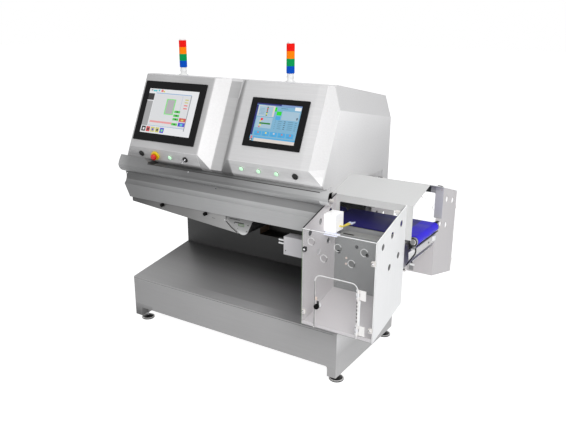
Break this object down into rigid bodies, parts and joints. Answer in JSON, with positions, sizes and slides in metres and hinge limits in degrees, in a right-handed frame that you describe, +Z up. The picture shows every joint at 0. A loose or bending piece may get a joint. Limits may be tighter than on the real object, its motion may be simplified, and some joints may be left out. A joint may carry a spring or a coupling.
{
  "type": "x-ray inspection machine",
  "caption": "Floor-standing x-ray inspection machine with weighing belt, guarded reject belt and clear-fronted reject bins.",
  "frame": {"origin": "on the floor, under the middle of the machine's bounding box, on the belts' centre line", "axes": "+X along the belts towards the exit, +Y away from the operator, +Z up"},
  "size_m": [1.9799, 1.2278, 1.9278],
  "materials": {
    "housing_steel": "fine brushed",
    "base_steel": "fine brushed",
    "column_steel": "fine brushed",
    "hood_steel": "fine brushed",
    "bin_steel": "fine brushed",
    "lip_steel": "fine brushed",
    "machined_steel": "turned",
    "black_plastic": "satin",
    "display_glass": "gloss",
    "yellow_plastic": "gloss",
    "red_plastic": "gloss",
    "green_lit_plastic": "gloss, lit",
    "chrome_metal": "polished",
    "tower_plastic": "gloss",
    "lens_plastic": "clear coloured",
    "belt_blue": "satin",
    "clear_plastic": "clear",
    "grey_box": "matte",
    "white_plastic": "gloss",
    "nozzle_yellow": "gloss",
    "unit_grey": "painted",
    "curtain_rubber": "matte"
  },
  "bodies": {
    "frame": {"base_frame": "base_steel", "foot_pads": "black_plastic", "foot_spindles": "machined_steel", "column_shell": "column_steel", "cable_inlet": "black_plastic", "upper_housing": "housing_steel", "display_bezels": "black_plastic", "display_glass": "display_glass", "device_bezels": "black_plastic", "estop_collar": "yellow_plastic", "tower_bodies": "tower_plastic", "tower_lenses": "lens_plastic", "cover_lip": "lip_steel", "door_hinges": "machined_steel", "tunnel_pan": "base_steel", "drive_end_plate": "hood_steel", "conveyor_belts": "belt_blue", "xray_conveyor_frame": "machined_steel", "weigh_conveyor_frame": "machined_steel", "reject_conveyor_frame": "machined_steel", "load_cell": "unit_grey", "gearmotors": "unit_grey", "exit_hood": "hood_steel", "front_bin": "bin_steel", "rear_bin": "bin_steel", "bin_panels": "clear_plastic", "bin_lid_panels": "clear_plastic", "panel_clamps": "chrome_metal", "air_blocks": "white_plastic", "air_nozzles": "nozzle_yellow", "valve_box": "grey_box", "xray_generator": "unit_grey", "collimator": "unit_grey", "detector_array": "unit_grey", "control_computer": "unit_grey", "electrical_plate": "unit_grey", "tunnel_curtains": "curtain_rubber"},
    "front_door_body": {"front_door": "lip_steel"},
    "column_door_body": {"column_door": "column_steel"},
    "column_lock_body": {"column_lock": "chrome_metal"},
    "front_bin_door_body": {"front_bin_door": "clear_plastic"},
    "rear_bin_door_body": {"rear_bin_door": "clear_plastic"},
    "front_bin_latch_body": {"front_bin_latch": "black_plastic"},
    "rear_bin_latch_body": {"rear_bin_latch": "black_plastic"},
    "estop_head_body": {"estop_head": "red_plastic"},
    "key_body": {"key": "chrome_metal"},
    "lit_button_1_body": {"lit_button_1": "green_lit_plastic"},
    "lit_button_2_body": {"lit_button_2": "green_lit_plastic"},
    "lit_button_3_body": {"lit_button_3": "green_lit_plastic"},
    "lit_button_4_body": {"lit_button_4": "green_lit_plastic"},
    "black_button_left_body": {"black_button_left": "black_plastic"},
    "black_button_right_body": {"black_button_right": "black_plastic"},
    "pan_knob_left_body": {"pan_knob_left": "black_plastic"},
    "pan_knob_right_body": {"pan_knob_right": "black_plastic"},
    "xray_idler_roller_body": {"xray_idler_roller": "machined_steel"},
    "xray_drive_roller_body": {"xray_drive_roller": "machined_steel"},
    "weigh_idler_roller_body": {"weigh_idler_roller": "machined_steel"},
    "weigh_drive_roller_body": {"weigh_drive_roller": "machined_steel"},
    "reject_idler_roller_body": {"reject_idler_roller": "machined_steel"},
    "reject_drive_roller_body": {"reject_drive_roller": "machined_steel"}
  },
  "joints": [
    {"name": "front_door_turn", "type": "hinge", "parent": "frame", "child": "front_door_body", "pos_m": [0, -0.357, 1.084], "axis": [-1, 0, 0], "range_deg": [0, 85]},
    {"name": "column_door_turn", "type": "hinge", "parent": "frame", "child": "column_door_body", "pos_m": [-0.926, 0.453, 0.75], "axis": [0, 0, 1], "range_deg": [0, 110]},
    {"name": "column_lock_turn", "type": "hinge", "parent": "column_door_body", "child": "column_lock_body", "pos_m": [-0.277, 0.45, 0.75], "axis": [0, 1, 0], "range_deg": [0, 90]},
    {"name": "front_bin_door_turn", "type": "hinge", "parent": "frame", "child": "front_bin_door_body", "pos_m": [0.859, -0.6056, 0.63], "axis": [0, 0, 1], "range_deg": [0, 110]},
    {"name": "rear_bin_door_turn", "type": "hinge", "parent": "frame", "child": "rear_bin_door_body", "pos_m": [0.859, 0.6056, 0.63], "axis": [0, 0, -1], "range_deg": [0, 110]},
    {"name": "front_bin_latch_turn", "type": "hinge", "parent": "front_bin_door_body", "child": "front_bin_latch_body", "pos_m": [0.618, -0.5976, 0.606], "axis": [0, -1, 0], "range_deg": [0, 90]},
    {"name": "rear_bin_latch_turn", "type": "hinge", "parent": "rear_bin_door_body", "child": "rear_bin_latch_body", "pos_m": [0.618, 0.5976, 0.606], "axis": [0, -1, 0], "range_deg": [0, 90]},
    {"name": "estop_head_press", "type": "slide", "parent": "frame", "child": "estop_head_body", "axis": [0, 0.9186, 0.3952], "range_m": [0, 0.004], "stiffness_N_per_m": 2000},
    {"name": "black_button_left_press", "type": "slide", "parent": "frame", "child": "black_button_left_body", "axis": [0, 0.9186, 0.3952], "range_m": [0, 0.0025], "stiffness_N_per_m": 800},
    {"name": "lit_button_1_press", "type": "slide", "parent": "frame", "child": "lit_button_1_body", "axis": [0, 0.9186, 0.3952], "range_m": [0, 0.0025], "stiffness_N_per_m": 800},
    {"name": "lit_button_2_press", "type": "slide", "parent": "frame", "child": "lit_button_2_body", "axis": [0, 0.9186, 0.3952], "range_m": [0, 0.0025], "stiffness_N_per_m": 800},
    {"name": "lit_button_3_press", "type": "slide", "parent": "frame", "child": "lit_button_3_body", "axis": [0, 0.9186, 0.3952], "range_m": [0, 0.0025], "stiffness_N_per_m": 800},
    {"name": "lit_button_4_press", "type": "slide", "parent": "frame", "child": "lit_button_4_body", "axis": [0, 0.9186, 0.3952], "range_m": [0, 0.0025], "stiffness_N_per_m": 800},
    {"name": "black_button_right_press", "type": "slide", "parent": "frame", "child": "black_button_right_body", "axis": [0, 0.9186, 0.3952], "range_m": [0, 0.0025], "stiffness_N_per_m": 800},
    {"name": "key_turn", "type": "hinge", "parent": "frame", "child": "key_body", "pos_m": [-0.461, -0.36518, 1.22526], "axis": [0, 0.9186, 0.3952], "range_deg": [0, 90]},
    {"name": "pan_knob_left_turn", "type": "hinge", "parent": "frame", "child": "pan_knob_left_body", "pos_m": [-0.704, -0.325, 0.889], "axis": [0, 1, 0], "range_deg": [0, 90]},
    {"name": "pan_knob_right_turn", "type": "hinge", "parent": "frame", "child": "pan_knob_right_body", "pos_m": [-0.344, -0.325, 0.889], "axis": [0, 1, 0], "range_deg": [0, 90]},
    {"name": "xray_drive_roller_turn", "type": "hinge", "parent": "frame", "child": "xray_drive_roller_body", "pos_m": [-0.1255, 0, 0.9065], "axis": [0, 1, 0], "continuous": true},
    {"name": "xray_idler_roller_turn", "type": "hinge", "parent": "frame", "child": "xray_idler_roller_body", "pos_m": [-0.9495, 0, 0.9065], "axis": [0, 1, 0], "continuous": true},
    {"name": "weigh_drive_roller_turn", "type": "hinge", "parent": "frame", "child": "weigh_drive_roller_body", "pos_m": [0.3745, 0, 0.9065], "axis": [0, 1, 0], "continuous": true},
    {"name": "weigh_idler_roller_turn", "type": "hinge", "parent": "frame", "child": "weigh_idler_roller_body", "pos_m": [-0.0645, 0, 0.9065], "axis": [0, 1, 0], "continuous": true},
    {"name": "reject_drive_roller_turn", "type": "hinge", "parent": "frame", "child": "reject_drive_roller_body", "pos_m": [0.9645, 0, 0.9065], "axis": [0, 1, 0], "continuous": true},
    {"name": "reject_idler_roller_turn", "type": "hinge", "parent": "frame", "child": "reject_idler_roller_body", "pos_m": [0.4355, 0, 0.9065], "axis": [0, 1, 0], "continuous": true}
  ],
  "couplings": [
    {"joint": "xray_idler_roller_turn", "follows": "xray_drive_roller_turn", "ratio": 1},
    {"joint": "weigh_idler_roller_turn", "follows": "weigh_drive_roller_turn", "ratio": 1},
    {"joint": "reject_idler_roller_turn", "follows": "reject_drive_roller_turn", "ratio": 1}
  ]
}
